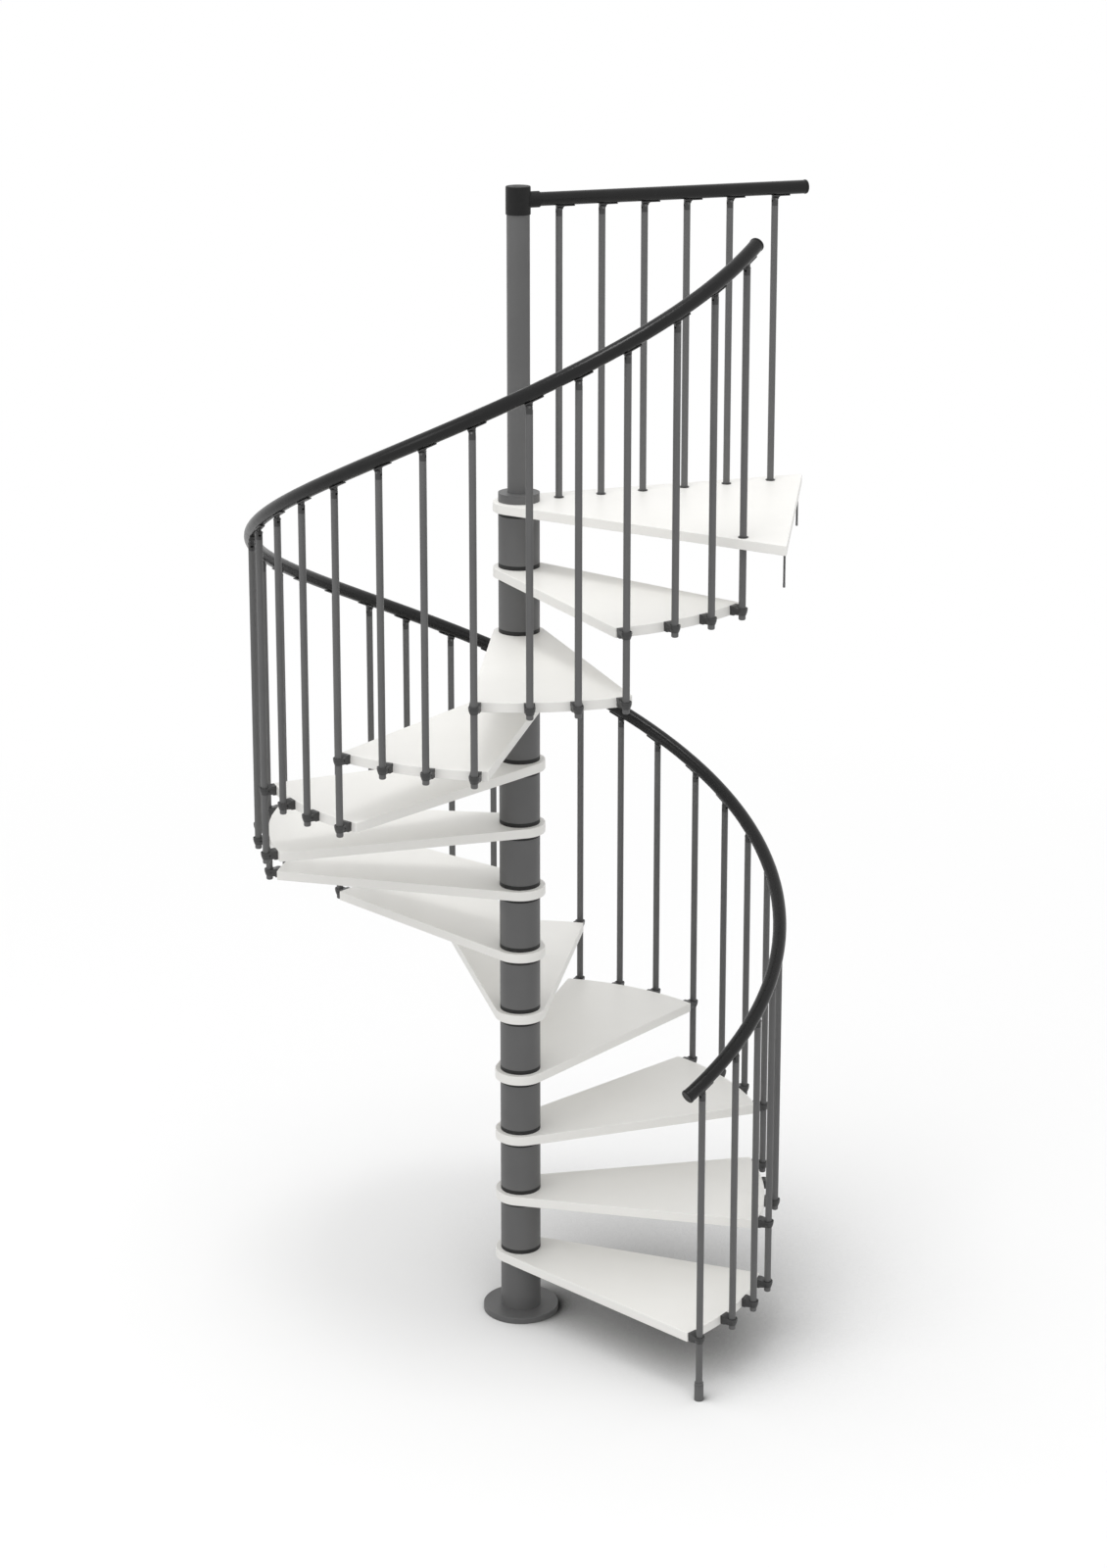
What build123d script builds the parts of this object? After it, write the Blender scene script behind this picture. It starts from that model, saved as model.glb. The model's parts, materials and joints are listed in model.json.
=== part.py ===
from build123d import *
from math import acos, atan, cos, degrees, radians, sin
import os

# Spiral staircase of twelve wedge treads and a triangular landing round one column.
# Millimetres and degrees. The origin is the centre of the base flange's lower face,
# +Z is up, angles run counter-clockwise from +X, the way the stair climbs.

# Stair layout
first_riser_height = 215.5
riser_height = 205.0
tread_count = 12
tread_turn = 30.92
first_tread_angle = -31.03
full_turn = 360.0

# Treads and landing
tread_thickness = 30.0
tread_radius = 781.0
tread_half_angle = 17.45
hub_radius = 80.0
landing_corner_radius = 972.0
landing_half_angle = 30.47
landing_angle = -6.4
corner_round = 3.0
edge_round = 2.0

# Column
tube_radius = 63.5
tube_wall = 3.0
ring_height = 13.0
ring_spigot = 8.0
pole_radius = 35.0
flange_radius = 120.0
flange_height = 20.0
flange_chamfer = 2.0
pole_socket_depth = 10.0
landing_flange_height = 27.0

# Balusters
baluster_radius = 10.5
baluster_standoff = 33.0
corner_lag = 16.0
middle_half_spread = 4.86
baluster_tail = 15.0
tail_round = 4.0
landing_baluster_distances = (130.0, 268.0, 406.0, 545.0, 687.0, 837.0)

# Clamps that hold the balusters to the tread edges
clamp_width = 30.0
clamp_block_depth = 10.0
clamp_collar_wall = 5.0
clamp_collar_height = 21.0
clamp_collar_drop = 5.0
clamp_taper_height = 10.0
clamp_taper_wall = 1.6
clamp_lid_height = 6.0
clamp_lid_step = 0.8
clamp_recess_depth = 4.0
clamp_recess_width = 3.4
screw_hole_radius = 2.2
screw_hole_inset = 8.0

# Feet and floor collars of the balusters
foot_radius = 14.3
foot_height = 50.0
foot_ring_height = 8.0
foot_ring_step = 0.8
foot_groove = 1.2
foot_floor = 8.0
base_collar_radius = 15.0
base_collar_height = 3.0

# Handrails
rail_radius = 21.0
rail_height = 821.0
rail_lower_overrun = 4.0
rail_upper_overrun = 3.4
landing_rail_height = 916.0
landing_rail_angle = 21.0
landing_rail_end = 936.0
end_cap_step = 1.0
end_cap_length = 8.0
end_cap_round = 4.8

# Hinged brackets between the baluster tops and the rail
knuckle_radius = 9.0
lug_width = 9.0
lug_reach = 11.5
lug_round = 8.5
saddle_thickness = 3.0
saddle_width = 18.0
saddle_ahead = 49.0
saddle_corner = 4.0
plug_height = 20.0
fork_height = 7.3
fork_round = 7.0
hinge_pin_radius = 2.5
hinge_pin_inset = 1.0
spigot_radius = 6.0
spigot_length = 18.0

# Pole cap with the landing rail's socket
cap_wall = 2.7
cap_height = 84.0
cap_roof = 12.0
cap_round = 3.0
socket_wall = 3.5
socket_reach = 30.0
socket_depth = 26.0
socket_chamfer = 2.0

# Fixing rods under the landing's outer edge
rod_radius = 3.8
rod_length = 117.0
rod_inset = 10.0
rod_from_corner = 97.0

# Clearances
fit = 0.3
seat = 0.1

# Heights and places that follow from the sizes above
baluster_circle = tread_radius + baluster_standoff
landing_level = first_riser_height + tread_count * riser_height
landing_underside = landing_level - tread_thickness
pole_foot = flange_height - pole_socket_depth
rail_centre_at_landing = landing_level + landing_rail_height
cap_top = rail_centre_at_landing + cap_height / 2
pole_top = cap_top - cap_roof
corner_turn = tread_turn - corner_lag
rail_rise_per_degree = riser_height / tread_turn
rail_slope = degrees(atan(riser_height / (radians(tread_turn) * baluster_circle)))
hinge_drop = rail_radius + seat + saddle_thickness + knuckle_radius
clamp_top = -clamp_collar_drop
clamp_bottom = clamp_top - clamp_collar_height


def at(radius, angle, z=0.0):
    return Vector(radius * cos(radians(angle)), radius * sin(radians(angle)), z)


def radial_frame(radius, angle, z):
    """A place with x pointing away from the column, y the way the stair climbs, z up."""
    return Location(at(radius, angle, z), (0, 0, angle))


def tube(outer, inner, height):
    base = (Align.CENTER, Align.CENTER, Align.MIN)
    return Cylinder(outer, height, align=base) - Cylinder(inner, height, align=base)


def post(radius, height):
    return Cylinder(radius, height, align=(Align.CENTER, Align.CENTER, Align.MIN))


def tread_angle(number):
    return first_tread_angle + (number - 1) * tread_turn


def tread_top(number):
    """Height of a tread's walking surface above the floor."""
    return first_riser_height + (number - 1) * riser_height


def rail_centre(angle):
    """Height of the stair rail's centre line, which passes over each front corner baluster."""
    first_baluster = first_tread_angle - corner_lag
    return tread_top(1) + rail_height + (angle - first_baluster) * rail_rise_per_degree


# Walking surfaces

def wedge(corner_radius, half_angle, straight_edge):
    """Wedge board with a round hub; its side edges are tangent to the hub."""
    tangent = half_angle + degrees(acos(hub_radius / corner_radius))
    back = at(corner_radius, half_angle)
    front = at(corner_radius, -half_angle)
    if straight_edge:
        outer = Line(front, back)
    else:
        outer = CenterArc((0, 0, 0), corner_radius, -half_angle, 2 * half_angle)
    outline = Curve() + [
        Line(at(hub_radius, -tangent), front),
        outer,
        Line(back, at(hub_radius, tangent)),
        CenterArc((0, 0, 0), hub_radius, tangent, full_turn - 2 * tangent),
    ]
    board = extrude(make_face(outline), tread_thickness)
    outer_corners = board.edges().filter_by(Axis.Z).sort_by(Axis.X)[-2:]
    board = fillet(outer_corners, corner_round)
    rims = board.faces().filter_by(Axis.Z).edges()
    board = fillet(rims, edge_round)
    return board - post(pole_radius + fit, tread_thickness)


def make_tread(number):
    board = wedge(tread_radius, tread_half_angle, straight_edge=False)
    level = tread_top(number) - tread_thickness
    return Location((0, 0, level), (0, 0, tread_angle(number))) * board


def make_landing():
    board = wedge(landing_corner_radius, landing_half_angle, straight_edge=True)
    board = Location((0, 0, landing_underside), (0, 0, landing_angle)) * board
    place = at(baluster_circle, top_baluster_angle, landing_underside)
    return board - Location(place) * post(baluster_radius + fit, tread_thickness)


# Column

def make_base_flange():
    disc = post(flange_radius, flange_height)
    disc = chamfer(disc.edges().sort_by(Axis.Z)[-1], flange_chamfer)
    return disc - Location((0, 0, pole_foot)) * post(pole_radius + fit, pole_socket_depth)


def column_levels():
    """Each tube's foot and the underside that it carries."""
    feet = [flange_height] + [tread_top(number) for number in range(1, tread_count + 1)]
    return [(foot, tread_top(number + 1) - tread_thickness) for number, foot in enumerate(feet)]


def make_column_tubes():
    tubes = []
    for number, (foot, underside) in enumerate(column_levels()):
        bottom = foot if number == 0 else foot + ring_height
        top = underside - ring_height
        sleeve = tube(tube_radius, tube_radius - tube_wall, top - bottom)
        tubes.append(Location((0, 0, bottom)) * sleeve)
    return tubes


def spacer_ring():
    """Ring with a spigot above it that centres the tube on the pole."""
    band = tube(tube_radius, pole_radius + fit, ring_height)
    spigot = tube(tube_radius - tube_wall - fit, pole_radius + fit, ring_spigot)
    return band + Location((0, 0, ring_height)) * spigot


def make_column_rings():
    ring = spacer_ring()
    rings = []
    for number, (foot, underside) in enumerate(column_levels()):
        rings.append(Location((0, 0, underside), (180, 0, 0)) * ring)
        if number > 0:
            rings.append(Location((0, 0, foot)) * ring)
    return rings


def make_centre_pole():
    return Location((0, 0, pole_foot)) * post(pole_radius, pole_top - pole_foot)


def make_landing_flange():
    collar = tube(tube_radius, pole_radius + fit, landing_flange_height)
    return Location((0, 0, landing_level)) * collar


def make_pole_cap():
    shell_radius = pole_radius + cap_wall
    socket_radius = rail_radius + socket_wall
    shell = post(shell_radius, cap_height)
    shell = fillet(shell.edges().sort_by(Axis.Z)[-1], cap_round)
    reach = shell_radius + socket_reach
    middle = Location((0, 0, cap_height / 2), (0, 90, 0))
    socket = post(socket_radius, reach)
    socket = chamfer(socket.edges().sort_by(Axis.Z)[-1], socket_chamfer)
    cap = shell + middle * socket
    cap -= post(pole_radius + fit, cap_height - cap_roof)
    rail_hole = Location((reach - socket_depth, 0, cap_height / 2), (0, 90, 0))
    cap -= rail_hole * post(rail_radius + fit, socket_depth)
    return Location((0, 0, cap_top - cap_height), (0, 0, landing_rail_angle)) * cap


# Balusters

def tread_baluster_angles(number):
    """Front corner, two middle and back corner places on one tread."""
    centre = tread_angle(number)
    return [
        centre - corner_lag,
        centre - middle_half_spread,
        centre + middle_half_spread,
        centre + corner_turn,
    ]


top_baluster_angle = tread_baluster_angles(tread_count)[-1]


def tail_level(number):
    """Lower end of a baluster held by the clamp of this tread."""
    return tread_top(number) + clamp_bottom - baluster_tail


def bored_bar(height):
    """Round bar with a bore in its top for the rail bracket's spigot."""
    depth = spigot_length + fit
    return post(baluster_radius, height) - Location((0, 0, height - depth)) * post(
        spigot_radius + fit, depth
    )


def baluster(angle, bottom):
    """Stair baluster with a rounded lower end; the rail bracket's plug stands on its top."""
    top = rail_centre(angle) - hinge_drop / cos(radians(rail_slope)) - plug_height
    bar = bored_bar(top - bottom)
    bar = fillet(bar.edges().sort_by(Axis.Z)[0], tail_round)
    return Location(at(baluster_circle, angle, bottom)) * bar


def make_balusters(number):
    front, middle_one, middle_two, _ = tread_baluster_angles(number)
    front_bottom = foot_floor if number == 1 else tail_level(number - 1)
    return [
        baluster(front, front_bottom),
        baluster(middle_one, tail_level(number)),
        baluster(middle_two, tail_level(number)),
    ]


def make_top_baluster():
    return baluster(top_baluster_angle, tail_level(tread_count))


def make_landing_balusters():
    top = rail_centre_at_landing - hinge_drop - plug_height
    bar = bored_bar(top - landing_level)
    return [
        Location(at(distance, landing_rail_angle, landing_level)) * bar
        for distance in landing_baluster_distances
    ]


def make_landing_collars():
    """Collars round the feet of the balusters that stand on or pass through the landing."""
    collar = tube(base_collar_radius, baluster_radius + fit, base_collar_height)
    places = [at(distance, landing_rail_angle, landing_level) for distance in landing_baluster_distances]
    places.append(at(baluster_circle, top_baluster_angle, landing_level))
    return [Location(place) * collar for place in places]


def make_first_baluster_foot():
    """Cup that the first baluster stands in, with a ring above a groove at its mouth."""
    ring_radius = foot_radius - foot_ring_step
    groove_radius = ring_radius - foot_ring_step
    cup = post(foot_radius, foot_height)
    cup += Location((0, 0, foot_height)) * post(groove_radius, foot_groove)
    cup += Location((0, 0, foot_height + foot_groove)) * post(ring_radius, foot_ring_height - foot_groove)
    hole = post(baluster_radius + fit, foot_height + foot_ring_height - foot_floor)
    cup -= Location((0, 0, foot_floor)) * hole
    return Location(at(baluster_circle, tread_baluster_angles(1)[0])) * cup


# Clamps

def clamp_back():
    """Place of the clamp's back face against the tread's edge, from the baluster's axis."""
    return seat - baluster_standoff


def clamp_plan(collar_radius):
    """Plan of the clamp: a block, a neck and the round collar."""
    neck_start = clamp_back() + clamp_block_depth
    block = Location((clamp_back(), 0)) * Rectangle(
        clamp_block_depth, clamp_width, align=(Align.MIN, Align.CENTER)
    )
    neck = Polygon(
        (neck_start, clamp_width / 2),
        (neck_start, -clamp_width / 2),
        (0, -collar_radius),
        (0, collar_radius),
        align=None,
    )
    return block + neck + Circle(collar_radius)


def clamp_slab(plan, bottom):
    """The plan as a solid from this level up to a top that slopes down to the baluster."""
    reach = baluster_radius + clamp_collar_wall + clamp_lid_step
    side = Polygon(
        (clamp_back(), 0),
        (clamp_back() + clamp_block_depth, 0),
        (-baluster_radius, clamp_top),
        (reach, clamp_top),
        (reach, bottom),
        (clamp_back(), bottom),
        align=None,
    )
    column = extrude(Location((0, 0, -tread_thickness)) * plan, tread_thickness)
    return column & extrude(Plane.XZ * side, clamp_width, both=True)


def clamp_block():
    block = Location((clamp_back(), 0, -tread_thickness)) * Box(
        clamp_block_depth, clamp_width, tread_thickness, align=(Align.MIN, Align.CENTER, Align.MIN)
    )
    return fillet(block.edges().filter_by(Axis.X).sort_by(Axis.Z)[:2], clamp_collar_wall)


def clamp_taper():
    """Cone that narrows the collar to the baluster below it."""
    return Location((0, 0, clamp_bottom)) * Cone(
        baluster_radius + clamp_taper_wall,
        baluster_radius + clamp_collar_wall,
        clamp_taper_height,
        align=(Align.CENTER, Align.CENTER, Align.MIN),
    )


def clamp_openings():
    """Bore for the baluster, the recess round it and the screw's hole in the uphill side."""
    bore = Location((0, 0, -tread_thickness)) * post(baluster_radius + fit, tread_thickness)
    recess = Location((0, 0, clamp_top - clamp_recess_depth)) * post(
        baluster_radius + clamp_recess_width, clamp_recess_depth
    )
    screw_level = (clamp_top - clamp_lid_height + clamp_bottom + clamp_taper_height) / 2
    screw_hole = Location((-screw_hole_inset, 0, screw_level), (-90, 0, 0)) * post(
        screw_hole_radius, clamp_width
    )
    return bore + recess + screw_hole


def clamp():
    """Clamp in its radial frame: the baluster's axis is z, the tread's edge lies toward -x.

    The block stands against the tread's edge and is as high as the tread is thick.
    A lid stands proud round the top, and the collar tapers to the baluster below.
    """
    plan = clamp_plan(baluster_radius + clamp_collar_wall)
    body = clamp_slab(plan, clamp_bottom + clamp_taper_height)
    foot = clamp_slab(clamp_plan(baluster_radius), clamp_bottom)
    lid = clamp_slab(offset(plan, clamp_lid_step), clamp_top - clamp_lid_height)
    return body + foot + lid + clamp_block() + clamp_taper() - clamp_openings()


def make_clamps(numbers):
    piece = clamp()
    return [
        radial_frame(baluster_circle, angle, tread_top(number)) * piece
        for number in numbers
        for angle in tread_baluster_angles(number)
    ]


# Handrails

def make_stair_handrail():
    start = first_tread_angle - corner_lag - rail_lower_overrun
    end = top_baluster_angle + rail_upper_overrun
    path = Helix(
        pitch=full_turn * rail_rise_per_degree,
        height=(end - start) * rail_rise_per_degree,
        radius=baluster_circle,
    )
    path = Location((0, 0, rail_centre(start)), (0, 0, start)) * path
    section = Plane(path @ 0, z_dir=path % 0) * Circle(rail_radius)
    return sweep(section, path=path, is_frenet=True)


def rail_start():
    """Distance of the landing rail's inner end from the column's axis."""
    return pole_radius + cap_wall + socket_reach - socket_depth + fit


def make_landing_handrail():
    rail = Location((rail_start(), 0, rail_centre_at_landing), (0, 90, 0)) * post(
        rail_radius, landing_rail_end - rail_start()
    )
    return Location((0, 0, 0), (0, 0, landing_rail_angle)) * rail


def end_cap():
    """Domed cap against a rail's end, with its lip standing proud of the rail."""
    cap = post(rail_radius + end_cap_step, end_cap_length)
    return fillet(cap.edges().sort_by(Axis.Z)[-1], end_cap_round)


def make_end_caps():
    cap = end_cap()
    lower = first_tread_angle - corner_lag - rail_lower_overrun
    upper = top_baluster_angle + rail_upper_overrun
    down = Location((0, 0, 0), (90 + rail_slope, 0, 0))
    up = Location((0, 0, 0), (rail_slope - 90, 0, 0))
    out = Location((landing_rail_end, 0, rail_centre_at_landing), (0, 90, 0))
    return [
        radial_frame(baluster_circle, lower, rail_centre(lower)) * down * cap,
        radial_frame(baluster_circle, upper, rail_centre(upper)) * up * cap,
        Location((0, 0, 0), (0, 0, landing_rail_angle)) * out * cap,
    ]


# Rail brackets

def across(radius, width):
    """Cylinder along x, centred on the origin."""
    return Location((-width / 2, 0, 0), (0, 90, 0)) * post(radius, width)


def fork_plug():
    """Plug with the hinge's axis as its x axis: a spigot, a flush body and two rounded cheeks."""
    body = Location((0, 0, -plug_height)) * post(baluster_radius, plug_height + fork_height)
    body = fillet(body.edges().sort_by(Axis.Z)[-1], fork_round)
    spigot = Location((0, 0, -plug_height - spigot_length)) * post(spigot_radius, spigot_length)
    slot_depth = knuckle_radius + fit
    slot = Location((0, 0, -slot_depth)) * Box(
        lug_width + 2 * seat,
        2 * baluster_radius,
        slot_depth + fork_height,
        align=(Align.CENTER, Align.CENTER, Align.MIN),
    )
    return body + spigot - slot - across(hinge_pin_radius + seat, 2 * baluster_radius)


def saddle():
    """Flat saddle plate with the hinge's axis as its x axis; its lug sits between the cheeks."""
    plate = Location((0, -knuckle_radius, knuckle_radius)) * Box(
        saddle_width,
        knuckle_radius + saddle_ahead,
        saddle_thickness,
        align=(Align.CENTER, Align.MIN, Align.MIN),
    )
    plate = fillet(plate.edges().filter_by(Axis.Z), saddle_corner)
    lug = Location((0, -knuckle_radius, 0)) * Box(
        lug_width,
        knuckle_radius + lug_reach,
        knuckle_radius,
        align=(Align.CENTER, Align.MIN, Align.MIN),
    )
    piece = plate + lug + across(knuckle_radius, lug_width)
    inner_corner = piece.edges().filter_by(Axis.X).sort_by_distance((0, lug_reach, knuckle_radius))[0]
    piece = fillet(inner_corner, lug_round)
    return piece - across(hinge_pin_radius + seat, saddle_width)


def bracket(slope):
    """Hinged bracket in its radial frame, with the rail's centre above the baluster at the origin.

    The fork plug closes the baluster's top, the saddle tilts with the rail and lies under
    it on the uphill side, and a pin joins the two.
    """
    hinge = Location((0, 0, -hinge_drop / cos(radians(slope))))
    tilt = Location((0, 0, 0), (slope, 0, 0))
    pin = across(hinge_pin_radius, 2 * (baluster_radius - hinge_pin_inset))
    return [hinge * fork_plug(), hinge * tilt * saddle(), hinge * pin]


def make_stair_brackets(numbers):
    pieces = bracket(rail_slope)
    angles = [angle for number in numbers for angle in tread_baluster_angles(number)[:3]]
    if tread_count in numbers:
        angles.append(top_baluster_angle)
    return [
        radial_frame(baluster_circle, angle, rail_centre(angle)) * piece
        for angle in angles
        for piece in pieces
    ]


def make_landing_brackets():
    """The landing rail's brackets, with their saddles pointing away from the column."""
    outward = Location((0, 0, 0), (0, 0, -90))
    return [
        radial_frame(distance, landing_rail_angle, rail_centre_at_landing) * outward * piece
        for distance in landing_baluster_distances
        for piece in bracket(0.0)
    ]


def make_fixing_rods():
    """Rods that hang from the landing near its outer edge."""
    edge = landing_corner_radius * cos(radians(landing_half_angle)) - rod_inset
    side = landing_corner_radius * sin(radians(landing_half_angle)) - rod_from_corner
    rods = []
    for place in (-side, side):
        rod = Location((edge, place, landing_underside - rod_length)) * post(rod_radius, rod_length)
        rods.append(Location((0, 0, 0), (0, 0, landing_angle)) * rod)
    return rods


parts = {
    "base_flange": make_base_flange(),
    "column_tubes": make_column_tubes(),
    "column_rings": make_column_rings(),
    "centre_pole": make_centre_pole(),
    "landing_flange": make_landing_flange(),
    "pole_cap": make_pole_cap(),
    "landing": make_landing(),
    "landing_fixing_rods": make_fixing_rods(),
    "top_baluster": make_top_baluster(),
    "first_baluster_foot": make_first_baluster_foot(),
    "landing_balusters": make_landing_balusters(),
    "landing_baluster_collars": make_landing_collars(),
    "landing_handrail": make_landing_handrail(),
    "landing_rail_brackets": make_landing_brackets(),
    "stair_handrail": make_stair_handrail(),
    "handrail_end_caps": make_end_caps(),
}

for number in range(1, tread_count + 1):
    parts[f"tread_{number:02d}"] = make_tread(number)
    parts[f"balusters_{number:02d}"] = make_balusters(number)

groups = {
    "lower": range(1, tread_count // 3 + 1),
    "middle": range(tread_count // 3 + 1, 2 * tread_count // 3 + 1),
    "upper": range(2 * tread_count // 3 + 1, tread_count + 1),
}
for name, numbers in groups.items():
    parts[f"tread_clamps_{name}"] = make_clamps(numbers)
    parts[f"rail_brackets_{name}"] = make_stair_brackets(numbers)

os.makedirs("parts", exist_ok=True)
for name, shape in parts.items():
    solids = shape if isinstance(shape, list) else [shape]
    export_step(Compound(children=[solid for piece in solids for solid in piece.solids()]),
                f"parts/{name}.step")
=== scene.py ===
import json
import math

import bmesh
import bpy
from mathutils import Matrix, Vector


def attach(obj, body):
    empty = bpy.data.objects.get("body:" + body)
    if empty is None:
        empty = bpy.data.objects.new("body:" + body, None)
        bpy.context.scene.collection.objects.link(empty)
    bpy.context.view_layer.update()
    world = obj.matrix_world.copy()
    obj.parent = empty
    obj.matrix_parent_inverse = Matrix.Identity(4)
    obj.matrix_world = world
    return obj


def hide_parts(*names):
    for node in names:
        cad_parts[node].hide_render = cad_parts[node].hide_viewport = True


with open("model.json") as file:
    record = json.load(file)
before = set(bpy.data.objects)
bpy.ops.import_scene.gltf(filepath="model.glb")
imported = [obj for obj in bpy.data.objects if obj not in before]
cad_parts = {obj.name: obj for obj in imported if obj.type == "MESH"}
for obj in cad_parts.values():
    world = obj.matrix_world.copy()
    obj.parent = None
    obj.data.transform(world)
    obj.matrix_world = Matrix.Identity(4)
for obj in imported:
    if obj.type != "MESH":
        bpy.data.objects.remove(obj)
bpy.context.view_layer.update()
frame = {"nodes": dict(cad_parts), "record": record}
nodes = frame["nodes"]

# Camera: metres, degrees and millimetres; the shift is a share of the frame's height
CAMERA_PLACE = (0.202, -9.237, 4.7595)
CAMERA_PITCH = 13.31
CAMERA_YAW = -0.60
CAMERA_LENS = 71.5
CAMERA_SENSOR = 36.0
CAMERA_SHIFT = -0.16
CAMERA_FARTHEST = 200.0

# Colours, as linear values
WHITE_LACQUER = (0.875, 0.866, 0.836)
LACQUER_SHADE = (0.835, 0.826, 0.795)
GREY_COAT = (0.125, 0.125, 0.125)
GREY_COAT_DARK = (0.108, 0.108, 0.108)
CLAMP_GREY = (0.034, 0.034, 0.034)
CLAMP_GREY_WORN = (0.050, 0.050, 0.050)
RING_BLACK = (0.022, 0.022, 0.022)
RING_BLACK_WORN = (0.032, 0.032, 0.032)
RAIL_BLACK = (0.005, 0.005, 0.005)
RAIL_BLACK_WORN = (0.008, 0.008, 0.008)
CAP_BLACK = (0.012, 0.012, 0.012)
CAP_BLACK_WORN = (0.019, 0.019, 0.019)
ZINC = (0.20, 0.20, 0.20)
ZINC_DARK = (0.09, 0.09, 0.09)
FLOOR_WHITE = (0.895, 0.895, 0.895)
FLOOR_BOUNCE = (0.56, 0.56, 0.56)
# Darkest colour of the floor's painted shadow
FLOOR_PAINTED_SHADE = (0.02, 0.02, 0.02)
PLAIN_WHITE = (1.0, 1.0, 1.0)

# Small parts, in metres and degrees
SAME_POINT = 1e-6
ROUND_SIDES = 24
SMOOTH_ANGLE = 35.0
HINGE_PIN_LONGEST_BOX = 0.030
HINGE_HEAD_START = 0.0100
HINGE_HEAD_HEIGHT = 0.0014
HINGE_HEAD_RADIUS = 0.0031
HINGE_SOCKET_RADIUS = 0.0014
HINGE_SOCKET_DEPTH = 0.0009
# Black ring deep in each clamp's recess round the baluster: painted shade, a dark ring where the
# recess is in shade
PAINTED_SHADE_RING_INNER = 0.01055
PAINTED_SHADE_RING_OUTER = 0.0137
PAINTED_SHADE_RING_TOP = -0.0056
PAINTED_SHADE_RING_HEIGHT = 0.0032
PAINTED_SHADE_RING_ROUND = 0.0007
CLAMP_SCREW_INSET = 0.008
CLAMP_SCREW_LEVEL = -0.0135
CLAMP_SCREW_START = 0.0076
CLAMP_SCREW_LENGTH = 0.0046
CLAMP_SCREW_RADIUS = 0.0021
CLAMP_SOCKET_RADIUS = 0.0011
CLAMP_SOCKET_DEPTH = 0.0016
ROD_SHANK_RADIUS = 0.0036
ROD_END_RADIUS = 0.0037
ROD_END_LENGTH = 0.014
ROD_END_ROUND = 0.0016
THREAD_PITCH = 0.00125
THREAD_DEPTH = 0.0007
THREAD_STEPS = 6

# Floor: sizes in metres; for the painted shadow, the share of open sky from darkest to lightest,
# and the light's side
FLOOR_REACH = 60.0
FLOOR_FADE_START = 1.6
FLOOR_FADE_END = 6.5
FLOOR_SHADE_REACH = 1.2
FLOOR_SHADE_SAMPLES = 16
FLOOR_SHADE_RANGE = (0.14, 0.95)
FLOOR_LIGHT_FROM = (-0.5, -0.4, 0.75)

# Strengths of the sky: the same all round, and added overhead and toward each side
SKY_EVEN = 0.76
SKY_HIGH = 0.25
SKY_LEFT = 0.2
SKY_RIGHT = 0.06
SKY_FRONT = 0.26
SKY_HIGH_POWER = 2.0

# Lamps, in metres and watts
OVERHEAD_PLACE = (-0.45, -2.4, 11.0)
OVERHEAD_TARGET = (0.0, 0.0, 1.5)
OVERHEAD_SIZE = 2.7
OVERHEAD_WATTS = 196.0
SIDE_PLACE = (-6.0, -4.5, 5.5)
SIDE_TARGET = (0.0, 0.0, 1.8)
SIDE_SIZE = 3.0
SIDE_WATTS = 42.0

# Socket numbers of the colours in a mix node
MIX_FIRST = 6
MIX_SECOND = 7
MIX_RESULT = 2


# Node helpers

def new_material(name):
    """A node material; returns it with its tree and its shader."""
    material = bpy.data.materials.new(name)
    material.use_nodes = True
    tree = material.node_tree
    return material, tree, tree.nodes["Principled BSDF"]


def add(tree, kind, inputs=None, **settings):
    """A node with its settings, and with its sockets set or linked."""
    node = tree.nodes.new(kind)
    for name, value in settings.items():
        setattr(node, name, value)
    for name, value in (inputs or {}).items():
        socket = node.inputs[name]
        if isinstance(value, bpy.types.NodeSocket):
            tree.links.new(value, socket)
        else:
            socket.default_value = value
    return node


def object_point(tree):
    return add(tree, "ShaderNodeTexCoord").outputs["Object"]


def noise(tree, point, scale, detail=2.0, roughness=0.5):
    node = add(
        tree, "ShaderNodeTexNoise",
        {"Vector": point, "Scale": scale, "Detail": detail, "Roughness": roughness},
    )
    return node.outputs["Fac"]


def stretched(tree, point, scale):
    """The point scaled along each axis, for noise that is long one way."""
    return add(tree, "ShaderNodeMapping", {"Vector": point, "Scale": scale}).outputs["Vector"]


def remap(tree, value, source, target=(0.0, 1.0), **settings):
    """The value taken from the source range to the target range, and held inside it."""
    inputs = {
        "Value": value,
        "From Min": source[0],
        "From Max": source[1],
        "To Min": target[0],
        "To Max": target[1],
    }
    return add(tree, "ShaderNodeMapRange", inputs, **settings).outputs["Result"]


def maths(tree, operation, *values):
    inputs = dict(enumerate(values))
    return add(tree, "ShaderNodeMath", inputs, operation=operation).outputs["Value"]


def mix_colour(tree, factor, first, second):
    node = add(tree, "ShaderNodeMix", data_type="RGBA")
    tree.links.new(factor, node.inputs["Factor"])
    for number, value in ((MIX_FIRST, first), (MIX_SECOND, second)):
        socket = node.inputs[number]
        if isinstance(value, bpy.types.NodeSocket):
            tree.links.new(value, socket)
        else:
            socket.default_value = (*value, 1.0)
    return node.outputs[MIX_RESULT]


def mix_shader(tree, factor, first, second):
    mixed = add(tree, "ShaderNodeMixShader", {"Fac": factor})
    tree.links.new(first, mixed.inputs[1])
    tree.links.new(second, mixed.inputs[2])
    return mixed.outputs["Shader"]


def bump(tree, height, distance, strength=1.0, below=None):
    inputs = {"Height": height, "Distance": distance, "Strength": strength}
    if below is not None:
        inputs["Normal"] = below
    return add(tree, "ShaderNodeBump", inputs).outputs["Normal"]


def seen_directly(tree):
    """1 for rays that show a surface, directly, mirrored or through glass, and 0 for lighting."""
    path = add(tree, "ShaderNodeLightPath").outputs
    seen = maths(tree, "MAXIMUM", path["Is Camera Ray"], path["Is Glossy Ray"])
    return maths(tree, "MAXIMUM", seen, path["Is Transmission Ray"])


# Materials

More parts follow.
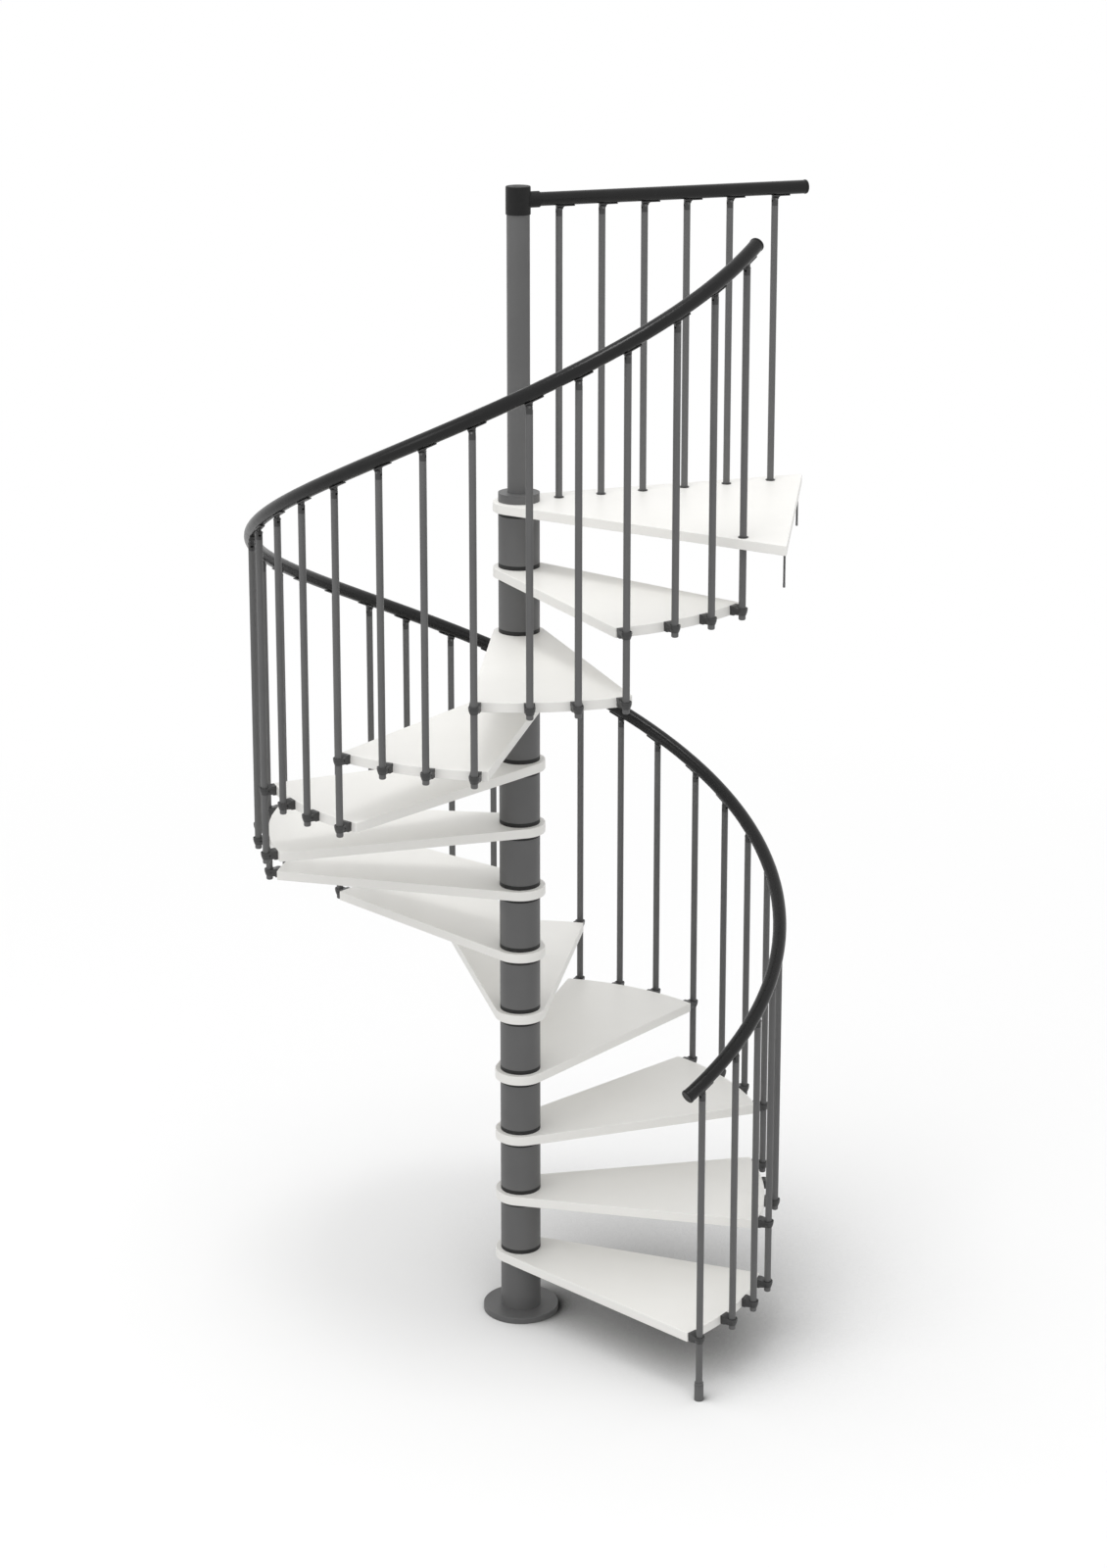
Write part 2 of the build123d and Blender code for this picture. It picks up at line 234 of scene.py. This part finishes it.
def lacquered_board():
    """White lacquer on board: faint mottling, long grain showing through and a fine orange peel."""
    material, tree, shader = new_material("white_lacquered_board")
    point = object_point(tree)
    mottle = noise(tree, point, scale=3.5, detail=4.0, roughness=0.6)
    along_board = stretched(tree, point, (24.0, 24.0, 640.0))
    grain = noise(tree, along_board, scale=1.0, detail=6.0, roughness=0.65)
    peel = noise(tree, point, scale=260.0)
    mottled = remap(tree, mottle, (0.35, 0.7), (0.0, 0.35))
    colour = mix_colour(tree, mottled, WHITE_LACQUER, LACQUER_SHADE)
    grained = remap(tree, grain, (0.45, 0.75), (0.0, 0.2))
    colour = mix_colour(tree, grained, colour, LACQUER_SHADE)
    tree.links.new(colour, shader.inputs["Base Color"])
    tree.links.new(remap(tree, mottle, (0.3, 0.7), (0.4, 0.5)), shader.inputs["Roughness"])
    relief = bump(tree, grain, distance=0.0003, strength=0.15)
    relief = bump(tree, peel, distance=0.0002, strength=0.15, below=relief)
    tree.links.new(relief, shader.inputs["Normal"])
    shader.inputs["Specular IOR Level"].default_value = 0.35
    return material


def powder_coat():
    """Grey powder coat: fine grain with slightly uneven gloss and tone."""
    material, tree, shader = new_material("grey_powder_coat")
    point = object_point(tree)
    broad = noise(tree, point, scale=7.0, detail=3.0)
    fine = noise(tree, point, scale=900.0, roughness=0.6)
    clouded = remap(tree, broad, (0.35, 0.7), (0.0, 0.5))
    colour = mix_colour(tree, clouded, GREY_COAT, GREY_COAT_DARK)
    specked = remap(tree, fine, (0.4, 0.75), (0.0, 0.3))
    colour = mix_colour(tree, specked, colour, GREY_COAT_DARK)
    tree.links.new(colour, shader.inputs["Base Color"])
    tree.links.new(remap(tree, broad, (0.3, 0.7), (0.42, 0.52)), shader.inputs["Roughness"])
    relief = bump(tree, fine, distance=0.0002, strength=0.3)
    tree.links.new(relief, shader.inputs["Normal"])
    shader.inputs["Specular IOR Level"].default_value = 0.32
    return material


def moulded_plastic(name, dark, worn, roughness, specular, grain=700.0):
    """Moulded plastic: spark-eroded grain, with paler rubbed patches."""
    material, tree, shader = new_material(name)
    point = object_point(tree)
    patches = noise(tree, point, scale=28.0, detail=4.0, roughness=0.6)
    fine = noise(tree, point, scale=grain, detail=3.0, roughness=0.6)
    rubbed = remap(tree, patches, (0.5, 0.75), (0.0, 0.7))
    tree.links.new(mix_colour(tree, rubbed, dark, worn), shader.inputs["Base Color"])
    tree.links.new(remap(tree, patches, (0.3, 0.7), roughness), shader.inputs["Roughness"])
    relief = bump(tree, fine, distance=0.0002, strength=0.25)
    tree.links.new(relief, shader.inputs["Normal"])
    shader.inputs["Specular IOR Level"].default_value = specular
    return material


def zinc_plated():
    """Zinc-plated steel: cloudy plating with a fine drawn grain along the part."""
    material, tree, shader = new_material("zinc_plated_steel")
    point = object_point(tree)
    cloud = noise(tree, point, scale=60.0, detail=4.0, roughness=0.6)
    along_part = stretched(tree, point, (900.0, 900.0, 40.0))
    drawn = noise(tree, along_part, scale=1.0, detail=3.0, roughness=0.6)
    colour = mix_colour(tree, remap(tree, cloud, (0.35, 0.7)), ZINC, ZINC_DARK)
    tree.links.new(colour, shader.inputs["Base Color"])
    tree.links.new(remap(tree, drawn, (0.3, 0.7), (0.35, 0.5)), shader.inputs["Roughness"])
    relief = bump(tree, drawn, distance=0.0001, strength=0.3)
    tree.links.new(relief, shader.inputs["Normal"])
    shader.inputs["Metallic"].default_value = 0.6
    return material


MATERIALS = {
    "board": lacquered_board(),
    "steel_paint": powder_coat(),
    "ring_plastic": moulded_plastic(
        "ring_plastic", RING_BLACK, RING_BLACK_WORN, roughness=(0.45, 0.6), specular=0.25
    ),
    "moulded_plastic": moulded_plastic(
        "clamp_plastic", CLAMP_GREY, CLAMP_GREY_WORN, roughness=(0.3, 0.42), specular=0.5
    ),
    "handrail": moulded_plastic(
        "rail_plastic", RAIL_BLACK, RAIL_BLACK_WORN,
        roughness=(0.24, 0.30), specular=0.3, grain=1400.0,
    ),
    "cap_plastic": moulded_plastic(
        "cap_plastic", CAP_BLACK, CAP_BLACK_WORN, roughness=(0.45, 0.55), specular=0.2
    ),
    "rod_steel": zinc_plated(),
}


def dress_cad_nodes():
    """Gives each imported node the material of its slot."""
    for row in frame["record"]["subparts"]:
        materials = nodes[row["node"]].data.materials
        materials.clear()
        materials.append(MATERIALS[row["material_slot"]])


# Places read from the frame

def solid_boxes(name):
    """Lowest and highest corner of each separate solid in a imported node."""
    mesh = bmesh.new()
    mesh.from_mesh(nodes[name].data)
    bmesh.ops.remove_doubles(mesh, verts=mesh.verts, dist=SAME_POINT)
    boxes = []
    waiting = set(mesh.verts)
    while waiting:
        reached = [waiting.pop()]
        for vertex in reached:
            for edge in vertex.link_edges:
                neighbour = edge.other_vert(vertex)
                if neighbour in waiting:
                    waiting.remove(neighbour)
                    reached.append(neighbour)
        columns = list(zip(*(vertex.co for vertex in reached)))
        boxes.append((Vector(map(min, columns)), Vector(map(max, columns))))
    mesh.free()
    return sorted(boxes, key=lambda box: tuple(box[0]))


def nodes_starting(start):
    return sorted(name for name in nodes if name.startswith(start))


def centre(box):
    return (box[0] + box[1]) / 2


def heading(vector):
    """Angle of a vector round the upright, from +X."""
    return math.atan2(vector.y, vector.x)


def upright_frame(place, angle):
    """A frame with x turned by this angle round the upright, and z up."""
    return Matrix.Translation(place) @ Matrix.Rotation(angle, 4, "Z")


def hinge_pins(name):
    """Centres of the hinge pins among a node's solids."""
    boxes = solid_boxes(name)
    return [centre(box) for box in boxes if (box[1] - box[0]).length < HINGE_PIN_LONGEST_BOX]


def hinge_frames():
    """Frames on the rail brackets' hinge pins, with x along the pin."""
    frames = []
    for name in nodes_starting("rail_brackets"):
        frames += [upright_frame(pin, heading(pin)) for pin in hinge_pins(name)]
    landing_pins = sorted(hinge_pins("landing_rail_brackets"), key=lambda pin: pin.xy.length)
    along_rail = heading(landing_pins[-1] - landing_pins[0])
    frames += [upright_frame(pin, along_rail + math.pi / 2) for pin in landing_pins]
    return frames


def clamp_frames():
    """Frames on the balusters' axes at the tread tops, with x pointing away from the column."""
    distance = centre(solid_boxes("top_baluster")[0]).xy.length
    frames = []
    for name in nodes_starting("tread_clamps"):
        for box in solid_boxes(name):
            angle = heading(centre(box))
            place = Vector((distance * math.cos(angle), distance * math.sin(angle), box[1].z))
            frames.append(upright_frame(place, angle))
    return frames


# Small parts

def round_points(rings):
    """Points of rings, each given as its radius at an angle and its height."""
    points = []
    for radius_at, height in rings:
        for side in range(ROUND_SIDES):
            angle = math.tau * side / ROUND_SIDES
            radius = radius_at(angle)
            points.append((radius * math.cos(angle), radius * math.sin(angle), height))
    return points


def band_faces(first, second):
    """Faces between two rings of points."""
    faces = []
    for side in range(ROUND_SIDES):
        following = (side + 1) % ROUND_SIDES
        corners = ((first, side), (first, following), (second, following), (second, side))
        faces.append(tuple(ring * ROUND_SIDES + place for ring, place in corners))
    return faces


def plain_rings(profile):
    """Rings that keep one radius all round, from a profile of (radius, height)."""
    return [(lambda angle, radius=radius: radius, height) for radius, height in profile]


def stacked(rings, closed=False, ends=()):
    """Shape of rings joined in turn, with a disc on each in ends; closed joins last to first."""
    count = len(rings)
    faces = []
    for ring in range(count if closed else count - 1):
        faces += band_faces(ring, (ring + 1) % count)
    faces += [tuple(range(ring * ROUND_SIDES, (ring + 1) * ROUND_SIDES)) for ring in ends]
    return round_points(rings), faces


def socket_screw(radius, height, socket_radius, socket_depth):
    """Screw head on z = 0 with a bevelled rim and a round socket in its face."""
    bevel = height / 4
    profile = [
        (radius, 0.0),
        (radius, height - bevel),
        (radius - bevel, height),
        (socket_radius, height),
        (socket_radius, height - socket_depth),
    ]
    return stacked(plain_rings(profile), ends=(0, len(profile) - 1))


def painted_shade_ring():
    """Ring with rounded rims, hanging down from z = 0: painted shade, a black ring in a clamp's
    recess.
    """
    profile = [
        (PAINTED_SHADE_RING_INNER, -PAINTED_SHADE_RING_HEIGHT),
        (PAINTED_SHADE_RING_INNER, -PAINTED_SHADE_RING_ROUND),
        (PAINTED_SHADE_RING_INNER + PAINTED_SHADE_RING_ROUND, 0.0),
        (PAINTED_SHADE_RING_OUTER - PAINTED_SHADE_RING_ROUND, 0.0),
        (PAINTED_SHADE_RING_OUTER, -PAINTED_SHADE_RING_ROUND),
        (PAINTED_SHADE_RING_OUTER, -PAINTED_SHADE_RING_HEIGHT),
    ]
    return stacked(plain_rings(profile), closed=True)


def thread_radius(height):
    """Radius of the screw thread round this height, from crest to root."""
    def radius_at(angle):
        turn = (height / THREAD_PITCH - angle / math.tau) % 1.0
        return ROD_SHANK_RADIUS - THREAD_DEPTH * abs(2.0 * turn - 1.0)
    return radius_at


def threaded_rod(length):
    """Rod that stands on z = 0: a plain end with a rounded tip, and a thread above it."""
    profile = [
        (ROD_END_RADIUS - ROD_END_ROUND, 0.0),
        (ROD_END_RADIUS - ROD_END_ROUND / 3, ROD_END_ROUND / 3),
        (ROD_END_RADIUS, ROD_END_ROUND),
        (ROD_END_RADIUS, ROD_END_LENGTH - THREAD_DEPTH),
    ]
    step = THREAD_PITCH / THREAD_STEPS
    count = int((length - ROD_END_LENGTH) / step)
    heights = [ROD_END_LENGTH + ring * step for ring in range(count)] + [length]
    rings = plain_rings(profile) + [(thread_radius(height), height) for height in heights]
    return stacked(rings, ends=(0, len(rings) - 1))


def make_piece(name, slot, shape, places):
    """One piece riding on the stair, with the shape repeated in each frame of places."""
    shape_points, shape_faces = shape
    points, faces = [], []
    for place in places:
        start = len(points)
        points += [place @ Vector(point) for point in shape_points]
        faces += [tuple(start + index for index in face) for face in shape_faces]
    mesh = bpy.data.meshes.new(name)
    mesh.from_pydata(points, [], faces)
    outward = bmesh.new()
    outward.from_mesh(mesh)
    bmesh.ops.recalc_face_normals(outward, faces=outward.faces)
    outward.to_mesh(mesh)
    outward.free()
    mesh.shade_smooth()
    mesh.set_sharp_from_angle(angle=math.radians(SMOOTH_ANGLE))
    mesh.materials.append(MATERIALS[slot])
    piece = bpy.data.objects.new(name, mesh)
    bpy.context.scene.collection.objects.link(piece)
    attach(piece, "root")
    return piece


def make_hinge_screws():
    """Screw heads at both ends of each hinge pin."""
    head = socket_screw(
        HINGE_HEAD_RADIUS, HINGE_HEAD_HEIGHT, HINGE_SOCKET_RADIUS, HINGE_SOCKET_DEPTH
    )
    out = Matrix.Translation((0, 0, HINGE_HEAD_START))
    places = [
        hinge @ Matrix.Rotation(turn, 4, "Y") @ out
        for hinge in hinge_frames()
        for turn in (math.pi / 2, -math.pi / 2)
    ]
    make_piece("hinge_screw_heads", "rod_steel", head, places)


def make_clamp_fittings():
    """Black rings round the balusters deep in the clamps' recesses, as painted shade there, and
    screws in their side holes.
    """
    clamps = clamp_frames()
    down = Matrix.Translation((0, 0, PAINTED_SHADE_RING_TOP))
    make_piece("clamp_recess_painted_shade", "ring_plastic", painted_shade_ring(), [clamp @ down for clamp in clamps])
    screw = socket_screw(
        CLAMP_SCREW_RADIUS, CLAMP_SCREW_LENGTH, CLAMP_SOCKET_RADIUS, CLAMP_SOCKET_DEPTH
    )
    hole = Matrix.Translation((-CLAMP_SCREW_INSET, CLAMP_SCREW_START, CLAMP_SCREW_LEVEL))
    sideways = Matrix.Rotation(-math.pi / 2, 4, "X")
    make_piece("clamp_screws", "rod_steel", screw, [clamp @ hole @ sideways for clamp in clamps])


def make_fixing_rods():
    """Threaded rods in place of the plain ones under the landing."""
    boxes = solid_boxes("landing_fixing_rods")
    low, high = boxes[0]
    feet = [Vector((*centre(box).xy, box[0].z)) for box in boxes]
    shape = threaded_rod(high.z - low.z)
    rods = make_piece(
        "threaded_fixing_rods", "rod_steel", shape, [Matrix.Translation(foot) for foot in feet]
    )
    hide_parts("landing_fixing_rods")


# Stage

def make_floor():
    """Pale floor with the stair's soft shadow, partly cast by the lamps and partly painted, which
    fades to plain white away from the stair.

    What is seen carries a painted shadow: its colour is darkened where the stair hides the sky
    toward the light, over the shadow the lamps cast. The stair is lit by a floor of one plain tone.
    """
    mesh = bpy.data.meshes.new("floor")
    reach = FLOOR_REACH
    corners = [(-reach, -reach, 0), (reach, -reach, 0), (reach, reach, 0), (-reach, reach, 0)]
    mesh.from_pydata(corners, [], [(0, 1, 2, 3)])
    floor = bpy.data.objects.new("floor", mesh)
    bpy.context.scene.collection.objects.link(floor)
    material, tree, shader = new_material("pale_floor")
    seen = seen_directly(tree)
    # Painted shadow: the seen colour darkens where the sky toward the light is hidden by the stair
    toward_light = add(
        tree, "ShaderNodeVectorMath", {0: FLOOR_LIGHT_FROM}, operation="NORMALIZE"
    ).outputs["Vector"]
    open_sky = add(
        tree, "ShaderNodeAmbientOcclusion",
        {"Distance": FLOOR_SHADE_REACH, "Normal": toward_light}, samples=FLOOR_SHADE_SAMPLES,
    ).outputs["AO"]
    lit = remap(tree, open_sky, FLOOR_SHADE_RANGE, interpolation_type="SMOOTHSTEP")
    painted_shadow_colour = mix_colour(tree, lit, FLOOR_PAINTED_SHADE, FLOOR_WHITE)
    colour = mix_colour(tree, seen, FLOOR_BOUNCE, painted_shadow_colour)
    tree.links.new(colour, shader.inputs["Base Color"])
    shader.inputs["Roughness"].default_value = 0.9
    shader.inputs["Specular IOR Level"].default_value = 0.0
    distance = add(
        tree, "ShaderNodeVectorMath", {0: object_point(tree)}, operation="LENGTH"
    ).outputs["Value"]
    fade = remap(tree, distance, (FLOOR_FADE_START, FLOOR_FADE_END))
    plain = add(tree, "ShaderNodeEmission", {"Color": (*PLAIN_WHITE, 1.0), "Strength": 1.0})
    surface = mix_shader(
        tree, maths(tree, "MULTIPLY", fade, seen), shader.outputs["BSDF"], plain.outputs["Emission"]
    )
    tree.links.new(surface, tree.nodes["Material Output"].inputs["Surface"])
    mesh.materials.append(material)


def make_world():
    """White surroundings for what is seen, and a soft sky as the light."""
    world = bpy.data.worlds.new("studio")
    bpy.context.scene.world = world
    world.use_nodes = True
    tree = world.node_tree
    background = tree.nodes["Background"]
    direction = add(tree, "ShaderNodeTexCoord").outputs["Generated"]
    toward = add(tree, "ShaderNodeSeparateXYZ", {"Vector": direction}).outputs
    high = maths(tree, "POWER", remap(tree, toward["Z"], (0.0, 1.0)), SKY_HIGH_POWER)
    parts = (
        (high, SKY_HIGH),
        (remap(tree, toward["X"], (0.0, -1.0)), SKY_LEFT),
        (remap(tree, toward["X"], (0.0, 1.0)), SKY_RIGHT),
        (remap(tree, toward["Y"], (0.0, -1.0)), SKY_FRONT),
    )
    sky = SKY_EVEN
    for part, strength in parts:
        sky = maths(tree, "MULTIPLY_ADD", part, strength, sky)
    background.inputs["Color"].default_value = (*PLAIN_WHITE, 1.0)
    tree.links.new(sky, background.inputs["Strength"])
    plain = add(tree, "ShaderNodeBackground", {"Color": (*PLAIN_WHITE, 1.0), "Strength": 1.0})
    surface = mix_shader(
        tree, seen_directly(tree), background.outputs["Background"], plain.outputs["Background"]
    )
    tree.links.new(surface, tree.nodes["World Output"].inputs["Surface"])


def area_light(name, place, target, size, watts):
    """Soft square lamp that points at a target."""
    data = bpy.data.lights.new(name, "AREA")
    data.shape = "SQUARE"
    data.size = size
    data.energy = watts
    lamp = bpy.data.objects.new(name, data)
    lamp.location = place
    lamp.rotation_euler = (Vector(target) - Vector(place)).to_track_quat("-Z", "Y").to_euler()
    bpy.context.scene.collection.objects.link(lamp)


def make_camera():
    """Camera at the photo's viewing angle."""
    data = bpy.data.cameras.new("camera")
    data.sensor_width = CAMERA_SENSOR
    data.lens = CAMERA_LENS
    data.shift_y = CAMERA_SHIFT
    data.clip_end = CAMERA_FARTHEST
    camera = bpy.data.objects.new("camera", data)
    camera.location = CAMERA_PLACE
    camera.rotation_euler = (
        math.radians(90.0 - CAMERA_PITCH), 0.0, math.radians(-CAMERA_YAW)
    )
    bpy.context.scene.collection.objects.link(camera)
    bpy.context.scene.camera = camera


dress_cad_nodes()
make_hinge_screws()
make_clamp_fittings()
make_fixing_rods()
make_floor()
make_world()
area_light("overhead_light", OVERHEAD_PLACE, OVERHEAD_TARGET, OVERHEAD_SIZE, OVERHEAD_WATTS)
area_light("side_light", SIDE_PLACE, SIDE_TARGET, SIDE_SIZE, SIDE_WATTS)
make_camera()

bpy.context.scene.view_settings.view_transform = "Standard"
